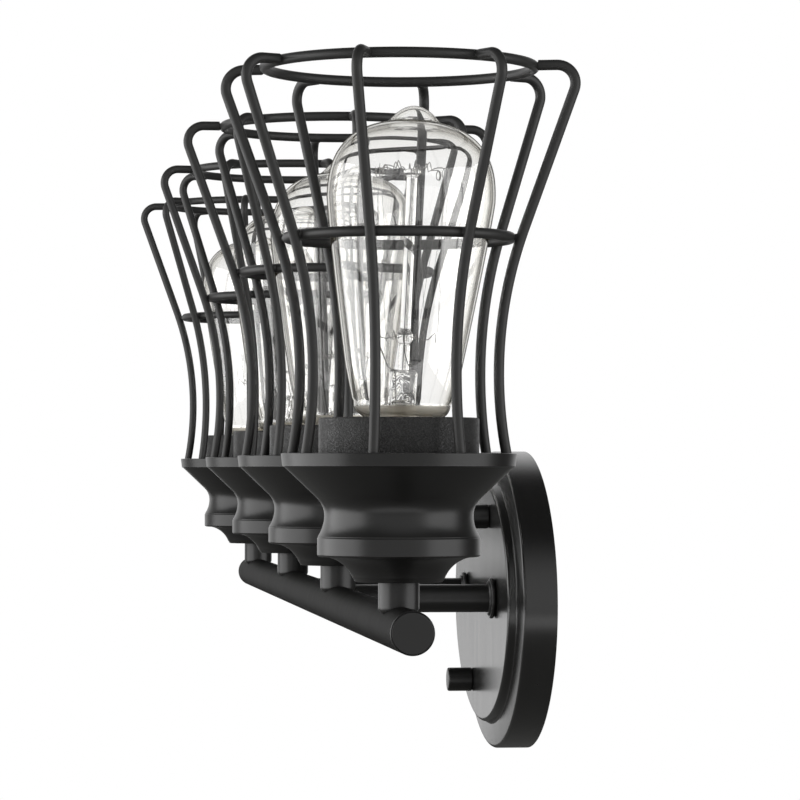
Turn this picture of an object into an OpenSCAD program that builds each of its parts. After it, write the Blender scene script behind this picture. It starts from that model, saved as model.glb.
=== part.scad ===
// Four-light wall vanity light: a stepped oval backplate, two arms, one round bar and four
// upright lamps, each with a turned cup, a textured socket cover, a clear bulb and a wire cage.
// Frame: the origin is on the wall, straight behind the middle of the bar's axis. X runs along
// the bar, +Y points into the wall and +Z up. Sizes are in millimetres.

/* [Overall] */
// Distance from one lamp to the next along the bar
lamp_pitch = 240; // [180:1:300]
// Length of bar beyond the middle of each outer lamp
bar_overhang = 46; // [20:1:80]
// Distance from the wall to the bar's axis
bar_standoff = 101; // [96:1:140]
// Height of the cup rims above the bar's axis
rim_height = 66; // [64:0.5:80]

/* [Bar and arms] */
// Outer diameter of the bar
bar_d = 16.5; // [16:0.1:22]
// Wall of the bar, arms and stems
tube_wall = 1.2; // [0.9:0.1:1.8]
// Thickness of the disc at each end of the bar
end_cap_t = 1.2; // [0.8:0.1:3]
// Depth that an end cap's plug reaches into the bar
end_cap_plug = 5; // [3:0.5:12]
// Distance between the two arms
arm_spacing = 98; // [80:1:120]
// Outer diameter of an arm
arm_d = 13; // [12:0.1:15]
// Outer diameter of the bead collar at the plate
collar_d = 19; // [16:0.1:24]
// Width of the bead collar along the arm
collar_w = 3.3; // [2.4:0.1:6]
// Outer diameter of a stem below a cup
stem_d = 15.6; // [14:0.1:16]
// Radius at the foot of a stem
stem_foot_r = 2.3; // [1:0.1:2.4]

/* [Backplate] */
// Width of the plate
plate_w = 212; // [196:1:240]
// Height of the plate
plate_h = 141.6; // [138:0.2:156]
// Drop of the plate's middle below the arms
plate_drop = 2.2; // [0:0.1:4]
// Radius of the plate's round ends
plate_end_r = 52; // [48:1:56]
// Depth from the wall to the flat margin
plate_margin_depth = 16.8; // [14:0.1:20]
// Depth from the wall to the raised face
plate_face_depth = 21; // [20.5:0.1:26]
// Width of the flat margin, with its rounded corner
plate_margin_w = 12.8; // [10:0.1:14]
// Radius of the plate's outer corner
plate_corner_r = 2.6; // [1.6:0.1:3.4]
// Radius of the raised face's edge
plate_face_r = 1.6; // [1.4:0.1:2]
// Sheet thickness of the plate
plate_t = 1.2; // [0.8:0.1:1.3]

/* [Wall bracket and cap nuts] */
// Distance of a cap nut from the plate's middle, sideways
nut_x = 29; // [24:0.5:30]
// Distance of a cap nut from the plate's middle, up or down
nut_z = 40; // [36:0.5:42]
// Outer diameter of a cap nut
cap_nut_d = 11.4; // [9:0.1:14]
// Length of a cap nut
cap_nut_len = 12; // [11:0.1:16]
// Diameter of the threaded studs
stud_d = 4.1; // [3.8:0.1:4.8]
// Diameter of the wall bracket
bracket_d = 116; // [112:1:120]
// Thickness of the wall bracket
bracket_t = 2; // [1.5:0.1:3]
// Distance between the two junction box screws
box_screw_spacing = 88.9; // [86:0.1:90]
// Width of a junction box screw slot
slot_w = 4.8; // [4.4:0.1:5.5]
// End-to-end length of a junction box screw slot
slot_len = 16; // [10:0.5:18]

/* [Cup] */
// Outer diameter at the rim
cup_rim_d = 89.6; // [88:0.2:96]
// Height of the upright band below the rim
cup_band_h = 4.6; // [3:0.1:6]
// Outer diameter at the neck
cup_neck_d = 56.4; // [54:0.2:60]
// Depth of the neck below the rim
cup_neck_depth = 23.5; // [22:0.1:25]
// Outer diameter of the lower band
cup_low_d = 61.7; // [60.5:0.1:64]
// Depth of the lower band's bottom edge below the rim
cup_low_depth = 38.4; // [37.5:0.1:40]
// Radius of the hollow curve under the lower band
cup_cove_r = 13; // [11.5:0.1:13.4]
// Depth of the cup's underside below the rim
cup_depth = 48.6; // [47.6:0.1:50]
// Sheet thickness of the cup
cup_wall = 1.2; // [0.8:0.1:1.4]

/* [Socket and cover] */
// Outer diameter of the socket cover
cover_d = 60.8; // [58:0.2:62]
// Height of the cover above the cup's rim
cover_rise = 13.4; // [12:0.1:16]
// Sheet thickness of the cover
cover_wall = 1.2; // [0.8:0.1:1.6]
// Outer diameter of the socket body
socket_d = 42; // [41:0.2:44]
// Diameter of the socket's mouth, round the bulb's neck
socket_mouth_d = 36.4; // [35.6:0.1:37]
// Depth of the socket's mouth
socket_mouth_depth = 5; // [4:0.1:6]
// Inner diameter of the metal screw shell
shell_bore_d = 27; // [26.8:0.1:27.4]
// Sheet thickness of the screw shell
shell_t = 0.5; // [0.3:0.1:0.8]

/* [Cage] */
// Number of upright wires
wire_count = 8; // [6:1:10]
// Diameter of the cage wire
wire_d = 4; // [3:0.1:4.4]
// Height of the top ring above the cup's rim
top_ring_height = 146; // [140:1:165]
// Radius of the top ring's centreline
top_ring_r = 51; // [46:0.5:54]
// Height of the mid ring above the cup's rim
mid_ring_height = 81.4; // [70:0.2:84]
// Radius of the wires at the waist
waist_r = 38.1; // [37:0.1:39]
// Height of the waist above the cup's rim
waist_height = 30; // [26:0.5:34]
// Radius of the long curve through the waist
waist_curve_r = 160; // [150:1:180]
// Lean of the wires' straight part from upright
flare_angle = 20; // [18:0.5:23]
// Radius of the bend at the top of each wire
bend_r = 7; // [5:0.5:9]
// Depth of a wire's foot below the cup's rim
wire_foot = 4.4; // [2:0.1:4.4]

/* [Bulb] */
// Largest diameter of the glass
bulb_d = 64; // [60:0.5:68]
// Height of the largest diameter above the cup's rim
bulb_wide_height = 96; // [92:0.5:100]
// Height of the dome above the largest diameter
bulb_dome_h = 29.9; // [28:0.1:33]
// Height of the sealed tip above the dome
bulb_tip_h = 5.8; // [4:0.1:8]
// Diameter of the glass at the bottom of its long taper
bulb_neck_d = 38.4; // [37:0.1:40]
// Wall of the glass
glass_t = 0.8; // [0.5:0.1:1]
// Outer diameter of the screw cap's thread
cap_d = 26.4; // [26:0.1:26.6]
// Pitch of the screw thread
cap_pitch = 3.63; // [3:0.01:4]
// Length of the cap's threaded sleeve
cap_len = 20; // [19:0.5:21]
// Diameter of the glass rod that carries the filament
arbor_d = 4.2; // [3.5:0.1:5]
// Diameter of the lead and support wires
support_d = 0.7; // [0.5:0.1:1]
// Height of the flat glass press above the cup's rim
press_height = 14.5; // [12:0.5:16]
// Length of the flat glass press
press_len = 17; // [14:0.5:20]
// Height of the glass button above the cup's rim
button_height = 44; // [40:1:60]
// Height of the glass rod's head above the cup's rim
arbor_height = 107; // [98:1:112]
// Reach of the upper support wires from the rod's axis
top_support_r = 15.5; // [12:0.5:18]
// Reach of the lower support wires from the rod's axis
low_support_r = 12.5; // [9:0.5:14]

/* [Hidden] */
$fn = 64;

// Colours
satin_black = "#1d1d1e";
textured_black = "#262627";
bare_steel = "#b9bcbf";
brass_colour = "#c9a75b";
clear_glass = [0.92, 0.93, 0.9, 0.3];

// Clearances
weld_gap = 0.03;
// A straight stretch of wire is a hair thinner than the bend that it runs into
wire_hair = 0.04;
splice_len = 0.2;
seat_gap = 0.05;
bolt_gap = 0.25;
thread_gap = 0.03;
bulb_gap = 0.3;

// Lamps stand at equal steps along the bar, lamp 1 at the +X end.
// Each cage is turned by its own angle, as it happened to be welded.
lamp_x = [1.5 * lamp_pitch, 0.5 * lamp_pitch, -0.5 * lamp_pitch, -1.5 * lamp_pitch];
cage_turn = [-16.9, 2, 10.9, -11.7];
bar_half = 1.5 * lamp_pitch + bar_overhang;
bar_bore_r = bar_d / 2 - tube_wall;
arm_bore_r = arm_d / 2 - tube_wall;

// Lamp-pipe thread, shared by the arms, nipples and their nuts
pipe_r = 4.85;
pipe_bore_r = 3.5;
pipe_nut_af = 14;
pipe_nut_t = 3;

// Heights above the bar's axis
cup_bottom_z = rim_height - cup_depth;
cup_floor_z = cup_bottom_z + cup_wall;
nipple_nut_z = cup_floor_z + seat_gap;
socket_top_z = rim_height + cover_rise - 0.5;
shell_top_z = socket_top_z - socket_mouth_depth;
cap_top_z = shell_top_z + 1;
cap_sleeve_z = cap_top_z - cap_len;
cap_insulator_h = 3;
cap_button_h = 1.6;
cap_button_z = cap_sleeve_z - cap_insulator_h - cap_button_h;
contact_z = cap_button_z - 0.2;
socket_floor_z = contact_z - 2;
socket_base_h = 18;
socket_hub_z = socket_floor_z - socket_base_h;
nipple_top_z = socket_hub_z + 12;
nipple_bar_gap = 1.15;
nipple_rest_z = bar_d / 2 + nipple_bar_gap;

// Points on an arc, from angle a0 to a1 in n steps
function arc(centre, r, a0, a1, n) =
    [for (i = [0:n]) centre + r * [cos(a0 + (a1 - a0) * i / n), sin(a0 + (a1 - a0) * i / n)]];
// Points on a quadratic curve, without its first point
function bow(p0, p1, p2, n) =
    [for (i = [1:n]) let (t = i / n) (1 - t) * (1 - t) * p0 + 2 * t * (1 - t) * p1 + t * t * p2];
function unit(v) = v / norm(v);
// Left-hand normal of a step from a to b
function left(a, b) = unit([a[1] - b[1], b[0] - a[0]]);
// A line of points moved sideways by d
function shifted(pts, d) = [
    for (i = [0:len(pts) - 1])
        let (n1 = left(pts[max(i - 1, 0)], pts[max(i, 1)]),
             n2 = left(pts[min(i, len(pts) - 2)], pts[min(i + 1, len(pts) - 1)]))
            pts[i] + d * (n1 + n2) / (1 + n1 * n2)
];
function reversed(pts) = [for (i = [len(pts) - 1:-1:0]) pts[i]];

// A hexagonal nut on the Z axis, standing on z = 0
module hex_nut(across_flats, height, hole_r) {
    difference() {
        cylinder(r = across_flats / 2 / cos(30), h = height, $fn = 6);
        translate([0, 0, -1]) cylinder(r = hole_r, h = height + 2, $fn = 32);
    }
}

// A rod between two points
module rod(a, b, r, sides = 16) {
    v = b - a;
    translate(a)
        rotate([0, acos(v[2] / norm(v)), atan2(v[1], v[0])])
            cylinder(r = r, h = norm(v), $fn = sides);
}

// Places a piece at the bar's axis above each lamp's place, or at one lamp
module at_lamp(n) {
    translate([lamp_x[n - 1], -bar_standoff, 0]) children();
}
module at_each_lamp() {
    for (n = [1:4]) at_lamp(n) children();
}

// Places a piece about the plate's middle, which hangs a little below the arms
module on_plate() {
    translate([0, 0, -plate_drop]) children();
}

// Backplate

// The oval is four arcs: two round ends and two long sides, which meet all but smoothly.
// It is what two wide discs share, with the tips that they leave trimmed by two end discs.
plate_side_trim = 1;
plate_step_lean = 0.4;
plate_end_x = plate_w / 2 - plate_end_r;
plate_side_r = (pow(plate_end_x, 2) + pow(plate_h / 2, 2) - pow(plate_end_r, 2)) / (plate_h - 2 * plate_end_r)
    - plate_side_trim;
plate_side_z = plate_side_r - plate_h / 2;
plate_join_x = plate_end_x + plate_end_r * cos(atan2(plate_side_z, plate_end_x));

// Outline of the sheet across the edge: x is the way in from the edge, y the depth
function plate_edge() = concat(
    [[0, 0]],
    arc([plate_corner_r, plate_margin_depth - plate_corner_r], plate_corner_r, 180, 90, 5),
    [[plate_margin_w, plate_margin_depth]],
    arc([plate_margin_w + plate_step_lean + plate_face_r, plate_face_depth - plate_face_r],
        plate_face_r, 180, 90, 5)
);

// Outline of the hollow behind it, with plain corners
function plate_hollow() = [
    [plate_t, -1],
    [plate_t, plate_margin_depth - plate_corner_r],
    [plate_corner_r, plate_margin_depth - plate_t],
    [plate_margin_w + plate_step_lean + plate_t, plate_margin_depth - plate_t],
    [plate_margin_w + plate_step_lean + plate_t, plate_face_depth - plate_face_r],
    [plate_margin_w + plate_step_lean + plate_face_r, plate_face_depth - plate_t]
];

// A round stepped disc of radius r with an outline of the plate's edge
module plate_disc(r, outline) {
    rotate([90, 0, 0])
        rotate_extrude($fn = 128) polygon(concat(
            [for (p = outline) [r - p[0], p[1]]],
            [[0, outline[len(outline) - 1][1]], [0, outline[0][1]]]
        ));
}

module plate_oval(outline) {
    intersection() {
        translate([0, 0, -plate_side_z]) plate_disc(plate_side_r, outline);
        translate([0, 0, plate_side_z]) plate_disc(plate_side_r, outline);
        union() {
            for (side = [-1, 1]) translate([side * plate_end_x, 0, 0]) plate_disc(plate_end_r, outline);
            translate([-plate_join_x, -2 * plate_face_depth, -plate_h])
                cube([2 * plate_join_x, 3 * plate_face_depth, 2 * plate_h]);
        }
    }
}

module backplate() {
    color(satin_black)
    difference() {
        on_plate() plate_oval(plate_edge());
        on_plate() plate_oval(plate_hollow());
        for (side = [-1, 1]) {
            translate([side * arm_spacing / 2, 1, 0])
                rotate([90, 0, 0]) cylinder(r = pipe_r + bolt_gap, h = plate_face_depth + 2);
            translate([side * nut_x, 1, side * nut_z - plate_drop])
                rotate([90, 0, 0]) cylinder(r = stud_d / 2 + bolt_gap, h = plate_face_depth + 2);
        }
    }
}

// Wall bracket

wire_window_r = 14;
wire_window_z = 28;
ground_x = 24;
ground_z = -26;
ground_r = 1.9;

module mounting_bracket() {
    color(bare_steel)
    on_plate() rotate([90, 0, 0])
        difference() {
            cylinder(r = bracket_d / 2, h = bracket_t, $fn = 96);
            for (side = [-1, 1]) {
                translate([side * nut_x, side * nut_z, -1])
                    cylinder(r = stud_d / 2 + thread_gap, h = bracket_t + 2);
                translate([0, side * wire_window_z, -1]) cylinder(r = wire_window_r, h = bracket_t + 2);
                for (end = [-1, 1])
                    translate([side * box_screw_spacing / 2 + end * (slot_len - slot_w) / 2, 0, -1])
                        cylinder(r = slot_w / 2, h = bracket_t + 2);
                translate([side * box_screw_spacing / 2 - (slot_len - slot_w) / 2, -slot_w / 2, -1])
                    cube([slot_len - slot_w, slot_w, bracket_t + 2]);
            }
            translate([ground_x, ground_z, -1]) cylinder(r = ground_r + thread_gap, h = bracket_t + 2);
        }
}

nut_bore_depth = cap_nut_len - 3;
stud_end = plate_face_depth + nut_bore_depth - 1;

module bracket_studs() {
    color(bare_steel)
    for (side = [-1, 1])
        translate([side * nut_x, 0, side * nut_z - plate_drop])
            rotate([90, 0, 0]) cylinder(r = stud_d / 2, h = stud_end, $fn = 32);
}

module stud_nuts() {
    color(bare_steel)
    for (side = [-1, 1])
        translate([side * nut_x, -bracket_t, side * nut_z - plate_drop])
            rotate([90, 0, 0]) hex_nut(stud_d * 1.9, 3, stud_d / 2 + thread_gap);
}

module ground_screw() {
    color("#3c8a4a")
    translate([ground_x, 0, ground_z - plate_drop])
        rotate([90, 0, 0]) {
            cylinder(r = ground_r, h = bracket_t, $fn = 32);
            translate([0, 0, bracket_t])
                difference() {
                    cylinder(r = 2 * ground_r, h = 2, $fn = 32);
                    translate([-2 * ground_r - 1, -0.5, 1.2]) cube([4 * ground_r + 2, 1, 2]);
                }
        }
}

// A blind nut, a smooth round cylinder with softened ends
module cap_nut(side) {
    color(satin_black)
    translate([side * nut_x, -plate_face_depth - seat_gap, side * nut_z - plate_drop])
        rotate([90, 0, 0])
            difference() {
                rotate_extrude() polygon(concat(
                    [[0, 0], [cap_nut_d / 2 - 0.6, 0], [cap_nut_d / 2, 0.6]],
                    arc([cap_nut_d / 2 - 1.1, cap_nut_len - 1.1], 1.1, 0, 90, 4),
                    [[0, cap_nut_len]]
                ));
                translate([0, 0, -1]) cylinder(r = stud_d / 2 + 0.06, h = nut_bore_depth + 1, $fn = 48);
            }
}
module cap_nut_upper() { cap_nut(1); }
module cap_nut_lower() { cap_nut(-1); }

// Arms, from the bar's back to the plate, with a threaded end through the plate

arm_thread_end = plate_face_depth - plate_t - pipe_nut_t - 2;

module arm(side) {
    color(satin_black)
    translate([side * arm_spacing / 2, 0, 0])
        difference() {
            union() {
                translate([0, -plate_face_depth, 0])
                    rotate([90, 0, 0]) cylinder(r = arm_d / 2, h = bar_standoff - plate_face_depth);
                translate([0, -arm_thread_end, 0])
                    rotate([90, 0, 0]) cylinder(r = pipe_r, h = plate_face_depth + 1 - arm_thread_end);
            }
            rotate([90, 0, 0]) cylinder(r = pipe_bore_r, h = bar_standoff);
            translate([0, -plate_face_depth - 6, 0])
                rotate([90, 0, 0]) cylinder(r = arm_bore_r, h = bar_standoff);
            translate([-arm_d, -bar_standoff, 0])
                rotate([0, 90, 0]) cylinder(r = bar_d / 2, h = 2 * arm_d);
        }
}
module arm_left() { arm(-1); }
module arm_right() { arm(1); }

// A turned ring round each arm: a fine lip, then a full bead against the plate
module arm_collars() {
    collar_bore_r = arm_d / 2 + seat_gap;
    bead_w = collar_w - 0.9;
    bead_mid = bead_w / 2;
    color(satin_black)
    for (side = [-1, 1])
        translate([side * arm_spacing / 2, -plate_face_depth, 0])
            rotate([90, 0, 0])
                rotate_extrude() polygon(concat(
                    [[collar_bore_r, 0], [collar_d / 2 - bead_mid, 0]],
                    arc([collar_d / 2 - bead_mid, bead_mid], bead_mid, -80, 90, 8),
                    [
                        [collar_bore_r + 0.9, bead_w],
                        [collar_bore_r + 0.9, collar_w],
                        [collar_bore_r, collar_w]
                    ]
                ));
}

module arm_nuts() {
    color(bare_steel)
    for (side = [-1, 1])
        translate([side * arm_spacing / 2, -plate_face_depth + plate_t, 0])
            rotate([-90, 0, 0]) hex_nut(pipe_nut_af, pipe_nut_t, pipe_r + thread_gap);
}

// Bar, end caps and stems

module bar_tube() {
    color(satin_black)
    difference() {
        translate([-bar_half + end_cap_t, -bar_standoff, 0])
            rotate([0, 90, 0])
                difference() {
                    cylinder(r = bar_d / 2, h = 2 * (bar_half - end_cap_t));
                    translate([0, 0, -1]) cylinder(r = bar_bore_r, h = 2 * bar_half);
                }
        at_each_lamp() cylinder(r = pipe_bore_r, h = bar_d);
        for (side = [-1, 1])
            translate([side * arm_spacing / 2, -bar_standoff, 0])
                rotate([-90, 0, 0]) cylinder(r = pipe_bore_r, h = bar_d);
    }
}

module bar_end_caps() {
    color(satin_black)
    for (side = [0, 1])
        translate([0, -bar_standoff, 0])
            rotate([0, 90 - 180 * side, 0])
                rotate_extrude() polygon([
                    [0, bar_half - end_cap_t - end_cap_plug],
                    [bar_bore_r - seat_gap - 0.5, bar_half - end_cap_t - end_cap_plug],
                    [bar_bore_r - seat_gap, bar_half - end_cap_t - end_cap_plug + 0.5],
                    [bar_bore_r - seat_gap, bar_half - end_cap_t],
                    [bar_d / 2, bar_half - end_cap_t],
                    [bar_d / 2, bar_half - 0.3],
                    [bar_d / 2 - 0.3, bar_half],
                    [0, bar_half]
                ]);
}

// A short turned tube, saddled onto the bar, its top bored for the nipple
module cup_stems() {
    foot_r = stem_d / 2 - stem_foot_r;
    foot_z = sqrt(pow(bar_d / 2, 2) - pow(foot_r, 2)) - 0.6;
    color(satin_black)
    at_each_lamp()
        difference() {
            rotate_extrude() polygon(concat(
                [[pipe_bore_r, 0], [foot_r, 0]],
                arc([foot_r, foot_z + stem_foot_r], stem_foot_r, -90, 0, 5),
                [
                    [stem_d / 2, cup_bottom_z],
                    [pipe_r + thread_gap, cup_bottom_z],
                    [pipe_r + thread_gap, nipple_rest_z],
                    [pipe_bore_r, nipple_rest_z]
                ]
            ));
            translate([-stem_d, 0, 0]) rotate([0, 90, 0]) cylinder(r = bar_d / 2, h = 2 * stem_d);
        }
}

// Two insulated leads: along the bar, up each stem and out through the right arm
lead_r = 1;
lead_offset = 1.4;
lead_top_z = socket_hub_z - 0.5;

module lead_wires() {
    arm_x = arm_spacing / 2;
    for (side = [-1, 1]) {
        run_y = -bar_standoff + side * lead_offset;
        run_z = -side * lead_offset;
        color(side < 0 ? "#202020" : "#e8e6e0")
        union() {
            rod([lamp_x[3], run_y, run_z], [lamp_x[0], run_y, run_z], lead_r);
            for (x = lamp_x) {
                rod([x, run_y, run_z], [x, run_y, lead_top_z], lead_r);
                translate([x, run_y, run_z]) sphere(r = lead_r);
            }
            rod([arm_x + side * lead_offset, run_y, run_z],
                [arm_x + side * lead_offset, -arm_thread_end + 4, run_z], lead_r);
            translate([arm_x + side * lead_offset, run_y, run_z]) sphere(r = lead_r);
        }
    }
}

// Nipples that clamp stem, cup and socket together

module lamp_nipples() {
    color(bare_steel)
    at_each_lamp()
        translate([0, 0, nipple_rest_z + seat_gap])
            difference() {
                cylinder(r = pipe_r, h = nipple_top_z - nipple_rest_z - seat_gap);
                translate([0, 0, -1]) cylinder(r = pipe_bore_r, h = nipple_top_z);
            }
}

module nipple_nuts() {
    color(bare_steel)
    at_each_lamp() translate([0, 0, nipple_nut_z]) hex_nut(pipe_nut_af, pipe_nut_t, pipe_r + thread_gap);
}

// Cup: a spun shell. Its outside line runs from the rim down to the hole in its floor.

cup_cove_top = cup_low_depth + 0.6;
cup_cone_r = cup_rim_d / 2 - 0.6;
neck_upper_r = 9;
neck_lower_r = 14;
neck_upper_a = 45;
neck_lower_a = acos((cup_neck_d / 2 + neck_lower_r - cup_low_d / 2 + 0.1) / neck_lower_r);
cup_foot_r = cup_low_d / 2 - 1.4 - sqrt(pow(cup_cove_r, 2) - pow(cup_cove_top + cup_cove_r - cup_depth, 2));

function cup_outside() = concat(
    [[cup_rim_d / 2, 0], [cup_cone_r, -cup_band_h]],
    arc([cup_neck_d / 2 + neck_upper_r, -cup_neck_depth], neck_upper_r, 180 - neck_upper_a, 180, 6),
    [for (p = arc([cup_neck_d / 2 + neck_lower_r, -cup_neck_depth], neck_lower_r, 180, 180 + neck_lower_a, 6))
        if (p[1] < -cup_neck_depth - 0.1) p],
    [
        [cup_low_d / 2, -cup_neck_depth - neck_lower_r * sin(neck_lower_a) - 0.4],
        [cup_low_d / 2, -cup_low_depth],
        [cup_low_d / 2 - 1, -cup_cove_top]
    ],
    [for (p = arc([cup_low_d / 2 - 1.4, -cup_cove_top - cup_cove_r], cup_cove_r, 90, 180, 24))
        if (p[1] > -cup_depth + 0.2 && p[0] < cup_low_d / 2 - 1.5) p],
    [
        [cup_foot_r, -cup_depth],
        [pipe_r + bolt_gap, -cup_depth]
    ]
);

module cup(n) {
    outside = cup_outside();
    color(satin_black)
    at_lamp(n)
        translate([0, 0, rim_height])
            rotate_extrude($fn = 96) polygon(concat(outside, reversed(shifted(outside, -cup_wall))));
}

// Socket cover: a pressed can whose foot rests on the cup's inner cone

neck_cone_r = cup_neck_d / 2 + neck_upper_r * (1 - cos(neck_upper_a));
neck_cone_depth = cup_neck_depth - neck_upper_r * sin(neck_upper_a);
cone_run = (cup_cone_r - neck_cone_r) / (neck_cone_depth - cup_band_h);
cover_foot_depth = cup_band_h
    + (cup_cone_r - cover_d / 2 - cup_wall * sqrt(1 + cone_run * cone_run)) / cone_run - 2 * seat_gap;

module socket_cover(n) {
    r = cover_d / 2;
    color(textured_black)
    at_lamp(n)
        translate([0, 0, rim_height])
            rotate_extrude($fn = 96) polygon([
                [r, -cover_foot_depth],
                [r, cover_rise - 0.4],
                [r - 0.4, cover_rise],
                [socket_d / 2 + bolt_gap, cover_rise],
                [socket_d / 2 + bolt_gap, cover_rise - cover_wall],
                [r - cover_wall, cover_rise - cover_wall],
                [r - cover_wall, -cover_foot_depth]
            ]);
}

// Socket: a moulded body on the nipple, with a flange under the cover's top
module socket(n) {
    flange_z = rim_height + cover_rise - cover_wall - seat_gap;
    hub_r = 12;
    color("#2b2a29")
    at_lamp(n)
        rotate_extrude() polygon([
            [pipe_r + thread_gap, socket_hub_z],
            [hub_r, socket_hub_z],
            [hub_r, socket_hub_z + 5],
            [socket_d / 2, socket_hub_z + 10],
            [socket_d / 2, flange_z - 3],
            [socket_d / 2 + 3, flange_z - 2.5],
            [socket_d / 2 + 3, flange_z],
            [socket_d / 2, flange_z],
            [socket_d / 2, socket_top_z],
            [socket_mouth_d / 2, socket_top_z],
            [socket_mouth_d / 2, shell_top_z],
            [shell_bore_d / 2 + shell_t + seat_gap, shell_top_z],
            [shell_bore_d / 2 + shell_t + seat_gap, socket_floor_z],
            [0, socket_floor_z],
            [0, nipple_top_z + seat_gap],
            [pipe_r + thread_gap, nipple_top_z + seat_gap]
        ]);
}

module screw_shells() {
    color(brass_colour)
    at_each_lamp()
        rotate_extrude() polygon([
            [shell_bore_d / 2, socket_floor_z + 1],
            [shell_bore_d / 2 + shell_t, socket_floor_z + 1],
            [shell_bore_d / 2 + shell_t, shell_top_z + seat_gap],
            [shell_bore_d / 2 + shell_t + 1, shell_top_z + seat_gap],
            [shell_bore_d / 2 + shell_t + 1, shell_top_z + seat_gap + shell_t],
            [shell_bore_d / 2, shell_top_z + seat_gap + shell_t]
        ]);
}

module socket_contacts() {
    color(brass_colour)
    at_each_lamp() {
        translate([0, 0, socket_floor_z]) cylinder(r = 2.4, h = contact_z - socket_floor_z, $fn = 32);
        translate([-3, -2.5, contact_z - 0.6]) cube([11, 5, 0.6]);
    }
}

// Cage: eight wires outside two rings. In a wire's own plane x is the radius.

cage_bottom_a = asin(waist_height / waist_curve_r);
foot_x = waist_r + waist_curve_r * (1 - cos(cage_bottom_a));
straight_z = waist_height + waist_curve_r * sin(flare_angle);
straight_x = waist_r + waist_curve_r * (1 - cos(flare_angle));
bend_z = top_ring_height - bend_r;
bend_low_z = bend_z - bend_r * sin(flare_angle);
bend_low_x = straight_x + (bend_low_z - straight_z) * tan(flare_angle);
bend_x = bend_low_x - bend_r * cos(flare_angle);

// Radius and lean of the wire where the mid ring touches it
ring_on_curve = mid_ring_height < straight_z;
mid_lean = ring_on_curve ? asin((mid_ring_height - waist_height) / waist_curve_r) : flare_angle;
mid_wire_x = ring_on_curve
    ? waist_r + waist_curve_r * (1 - cos(mid_lean))
    : straight_x + (mid_ring_height - straight_z) * tan(flare_angle);
mid_ring_r = mid_wire_x - (wire_d + weld_gap) / cos(mid_lean);

module bent_wire(radius, from, sweep) {
    rotate([90, 0, 0]) rotate([0, 0, from])
        rotate_extrude(angle = sweep, $fn = 96) translate([radius, 0]) circle(d = wire_d, $fn = 24);
}

module cage_wire() {
    leg_x = top_ring_r + wire_d / 2 + weld_gap;
    straight_d = wire_d - 2 * wire_hair;
    translate([leg_x, 0, top_ring_height])
        rotate([0, 90, 0]) cylinder(d = straight_d, h = bend_x - leg_x + splice_len, $fn = 24);
    translate([bend_x, 0, bend_z]) bent_wire(bend_r, -flare_angle, 90 + flare_angle);
    translate([straight_x, 0, straight_z])
        rotate([0, flare_angle, 0])
            translate([0, 0, -splice_len])
                cylinder(d = straight_d, h = (bend_low_z - straight_z) / cos(flare_angle) + 2 * splice_len,
                    $fn = 24);
    translate([waist_r + waist_curve_r, 0, waist_height])
        bent_wire(waist_curve_r, 180 - flare_angle, flare_angle + cage_bottom_a);
    translate([foot_x, 0, -wire_foot]) cylinder(d = straight_d, h = wire_foot + splice_len, $fn = 24);
}

module cage_wires(n) {
    color(satin_black)
    at_lamp(n)
        for (i = [0:wire_count - 1])
            translate([0, 0, rim_height]) rotate([0, 0, cage_turn[n - 1] + i * 360 / wire_count]) cage_wire();
}

module cage_ring(n, radius, height) {
    color(satin_black)
    at_lamp(n)
        translate([0, 0, rim_height + height])
            rotate_extrude($fn = 96) translate([radius, 0]) circle(d = wire_d, $fn = 24);
}

// Bulb. The glass is traced from the tip at its top down to the neck inside the cap.

bulb_z = rim_height + bulb_wide_height;
bulb_top_z = bulb_z + bulb_dome_h;
neck_z = cap_top_z + 9;
glass_end_z = cap_top_z - 6;
glass_neck_r = cap_d / 2 - 2.1;
taper_mid_r = bulb_neck_d / 2 + 3;
bulb_foot_r = 5.2;
tip_r = 11;
// The dome is a full oval, flatter on top than an ellipse: its power would be 2 for an ellipse
dome_power = 2.55;
tip_edge_a = acos(pow(2 * tip_r / bulb_d, dome_power / 2));

// Height of the dome at radius r, and of the tip that rises out of it
function dome_z(r) = bulb_z + bulb_dome_h * pow(1 - pow(2 * r / bulb_d, dome_power), 1 / dome_power);
function tip_rise(r) = r > tip_r ? 0 : bulb_tip_h * pow(cos(90 * r / tip_r), 2);

function bulb_outside() = concat(
    [for (i = [0:9]) let (r = i * tip_r / 9) [r, dome_z(r) + tip_rise(r)]],
    [for (i = [1:11]) let (a = tip_edge_a * (1 - i / 11), r = bulb_d / 2 * pow(cos(a), 2 / dome_power))
        [r, i < 11 ? dome_z(r) : bulb_z]],
    bow([bulb_d / 2, bulb_z], [bulb_d / 2 - 1.4, bulb_z - 13.5], [taper_mid_r, neck_z + 15], 12),
    [[bulb_neck_d / 2 - 0.2, neck_z + 2.1]],
    arc([bulb_neck_d / 2 - bulb_foot_r - 0.8, neck_z + 0.7], bulb_foot_r, 5, -72, 7),
    [[glass_neck_r + 0.6, cap_top_z + 0.6], [glass_neck_r, cap_top_z - 0.4], [glass_neck_r, glass_end_z]]
);

module bulb_glass(n) {
    outside = bulb_outside();
    inside = shifted(outside, -glass_t);
    color(clear_glass)
    at_lamp(n)
        rotate_extrude($fn = 96) polygon(concat(
            outside,
            [for (i = [len(inside) - 1:-1:1]) inside[i]],
            [[0, outside[0][1] - glass_t]]
        ));
}

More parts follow.
